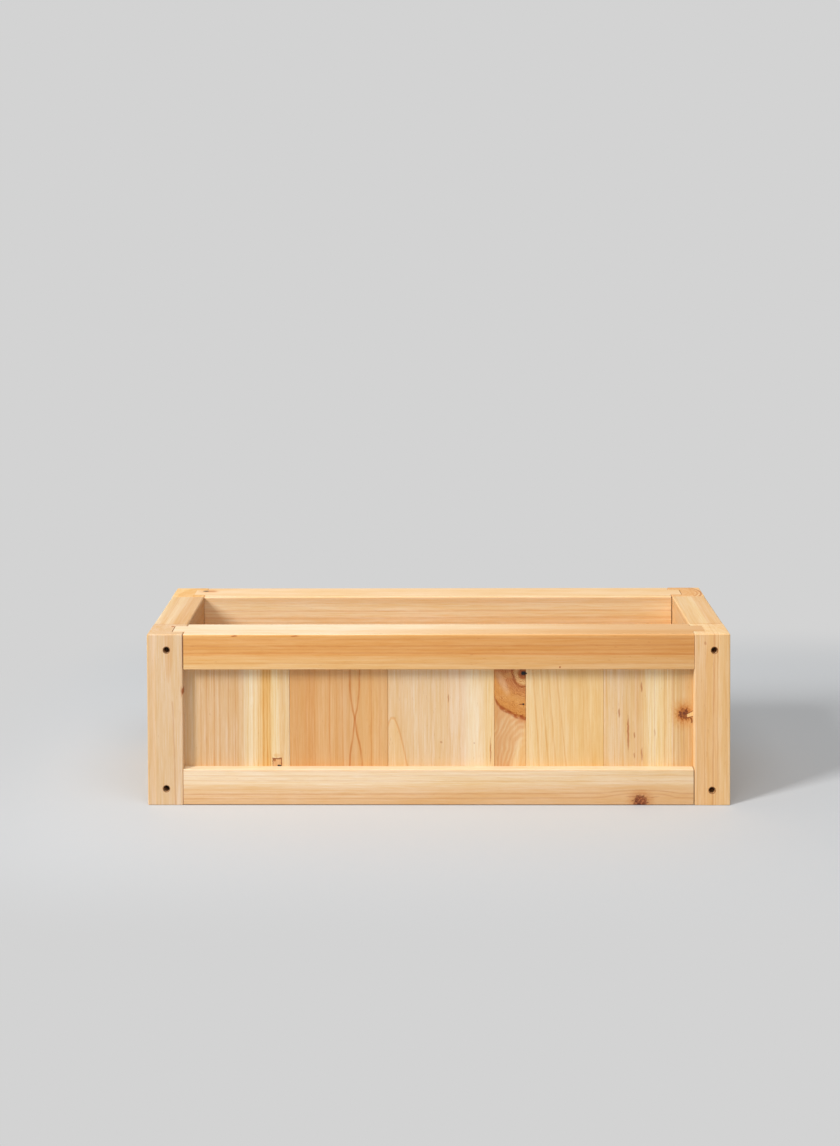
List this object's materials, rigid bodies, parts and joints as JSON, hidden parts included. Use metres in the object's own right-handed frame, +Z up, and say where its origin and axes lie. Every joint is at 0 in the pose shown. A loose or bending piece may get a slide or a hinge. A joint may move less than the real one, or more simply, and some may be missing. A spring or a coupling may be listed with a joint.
{
  "type": "window box planter",
  "caption": "Long rectangular wooden planter box: square corner posts and rails frame walls of recessed upright staves, open at the top, with a slatted floor.",
  "frame": {"origin": "on the ground under the middle of the box", "axes": "+X along the box to the right as seen from the front, +Y from the front to the back, +Z up"},
  "size_m": [0.622, 0.184, 0.184],
  "materials": {
    "post_wood": "planed softwood, unfinished, end grain on top",
    "rail_wood": "planed softwood, unfinished",
    "stave_wood": "planed softwood, unfinished, every board its own tone and grain",
    "floor_wood": "planed softwood, unfinished",
    "screw_steel": "zinc-plated screw, a little dulled",
    "bright_steel": "bright drawn wire"
  },
  "bodies": {
    "root": {"back_bottom_rail": "rail_wood", "back_floor_cleat": "floor_wood", "back_stave_1": "stave_wood", "back_stave_2": "stave_wood", "back_stave_3": "stave_wood", "back_stave_4": "stave_wood", "back_stave_5": "stave_wood", "back_stave_6": "stave_wood", "back_top_rail": "rail_wood", "cleat_screws": "screw_steel", "floor_nails": "bright_steel", "floor_slat_1": "floor_wood", "floor_slat_2": "floor_wood", "floor_slat_3": "floor_wood", "floor_slat_4": "floor_wood", "floor_slat_5": "floor_wood", "floor_slat_6": "floor_wood", "frame_screws": "screw_steel", "front_bottom_rail": "rail_wood", "front_floor_cleat": "floor_wood", "front_stave_1": "stave_wood", "front_stave_2": "stave_wood", "front_stave_3": "stave_wood", "front_stave_4": "stave_wood", "front_stave_5": "stave_wood", "front_stave_6": "stave_wood", "front_top_rail": "rail_wood", "left_bottom_rail": "rail_wood", "left_stave_1": "stave_wood", "left_stave_2": "stave_wood", "left_top_rail": "rail_wood", "post_back_left": "post_wood", "post_back_right": "post_wood", "post_front_left": "post_wood", "post_front_right": "post_wood", "right_bottom_rail": "rail_wood", "right_stave_1": "stave_wood", "right_stave_2": "stave_wood", "right_top_rail": "rail_wood", "stave_staples": "bright_steel"}
  },
  "joints": []
}
